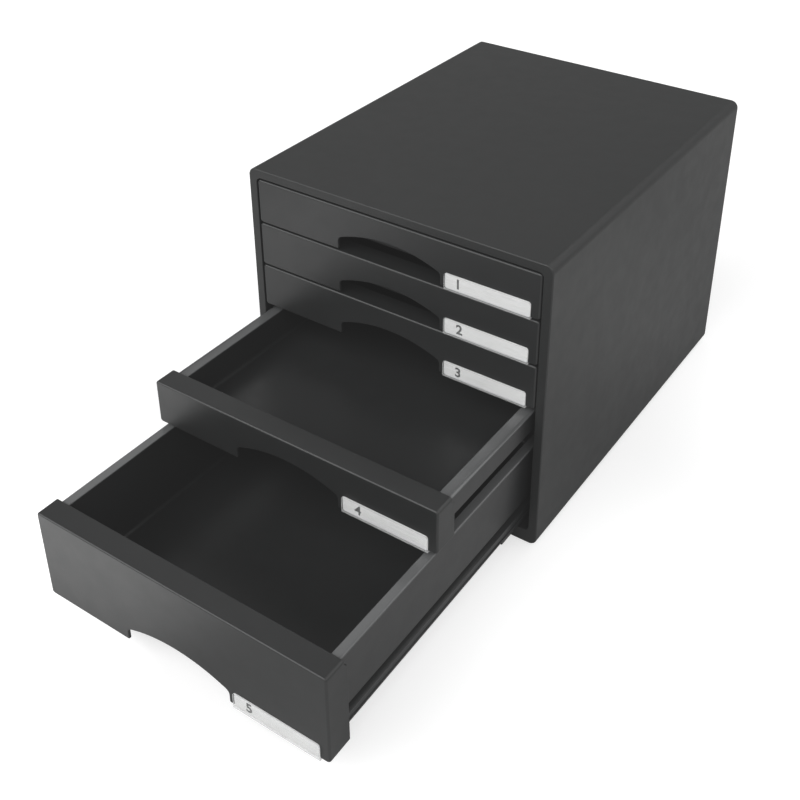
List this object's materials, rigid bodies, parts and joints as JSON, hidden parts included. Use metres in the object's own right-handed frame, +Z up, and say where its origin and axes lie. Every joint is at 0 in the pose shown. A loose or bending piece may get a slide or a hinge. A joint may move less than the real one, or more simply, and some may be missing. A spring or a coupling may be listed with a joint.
{
  "type": "desk drawer cabinet",
  "caption": "Free-standing black plastic desk drawer cabinet for A4 paper: shallow drawers over a deep one, arched finger cut-outs, clear label holders, lower drawers open.",
  "frame": {"origin": "on the desk, under the middle of the whole outline seen from above, with the two lower drawers open as stored; the casing's front edge is at y = -0.04975 m", "axes": "+Z up, -Y the way the drawers open, +X to the right of someone who faces the drawer fronts, where the label holders are"},
  "size_m": [0.287, 0.6266, 0.27],
  "materials": {
    "casing_black": "fine spark-eroded grain, satin",
    "drawer_black": "fine grain, satin",
    "front_black": "fine grain, satin, slightly smoother than the casing",
    "runner_black": "plain moulded",
    "foot_rubber": "matt",
    "clear_plastic": "clear, polished",
    "card_white": "smooth card with a printed number"
  },
  "bodies": {
    "cabinet": {"casing": "casing_black", "back_panel": "casing_black", "runner_left": "runner_black", "runner_right": "runner_black", "feet": "foot_rubber"},
    "drawer_1": {"drawer_1_tray": "drawer_black", "drawer_1_front": "front_black", "drawer_1_label_holder": "clear_plastic", "drawer_1_label_card": "card_white"},
    "drawer_2": {"drawer_2_tray": "drawer_black", "drawer_2_front": "front_black", "drawer_2_label_holder": "clear_plastic", "drawer_2_label_card": "card_white"},
    "drawer_3": {"drawer_3_tray": "drawer_black", "drawer_3_front": "front_black", "drawer_3_label_holder": "clear_plastic", "drawer_3_label_card": "card_white"},
    "drawer_4": {"drawer_4_tray": "drawer_black", "drawer_4_front": "front_black", "drawer_4_label_holder": "clear_plastic", "drawer_4_label_card": "card_white"},
    "drawer_5": {"drawer_5_tray": "drawer_black", "drawer_5_front": "front_black", "drawer_5_label_holder": "clear_plastic", "drawer_5_label_card": "card_white"}
  },
  "joints": [
    {"name": "drawer_1_slide", "type": "slide", "parent": "cabinet", "child": "drawer_1", "axis": [0, -1, 0], "range_m": [0, 0.285]},
    {"name": "drawer_2_slide", "type": "slide", "parent": "cabinet", "child": "drawer_2", "axis": [0, -1, 0], "range_m": [0, 0.285]},
    {"name": "drawer_3_slide", "type": "slide", "parent": "cabinet", "child": "drawer_3", "axis": [0, -1, 0], "range_m": [0, 0.285]},
    {"name": "drawer_4_slide", "type": "slide", "parent": "cabinet", "child": "drawer_4", "axis": [0, -1, 0], "range_m": [-0.135, 0.15]},
    {"name": "drawer_5_slide", "type": "slide", "parent": "cabinet", "child": "drawer_5", "axis": [0, -1, 0], "range_m": [-0.262, 0.023]}
  ]
}
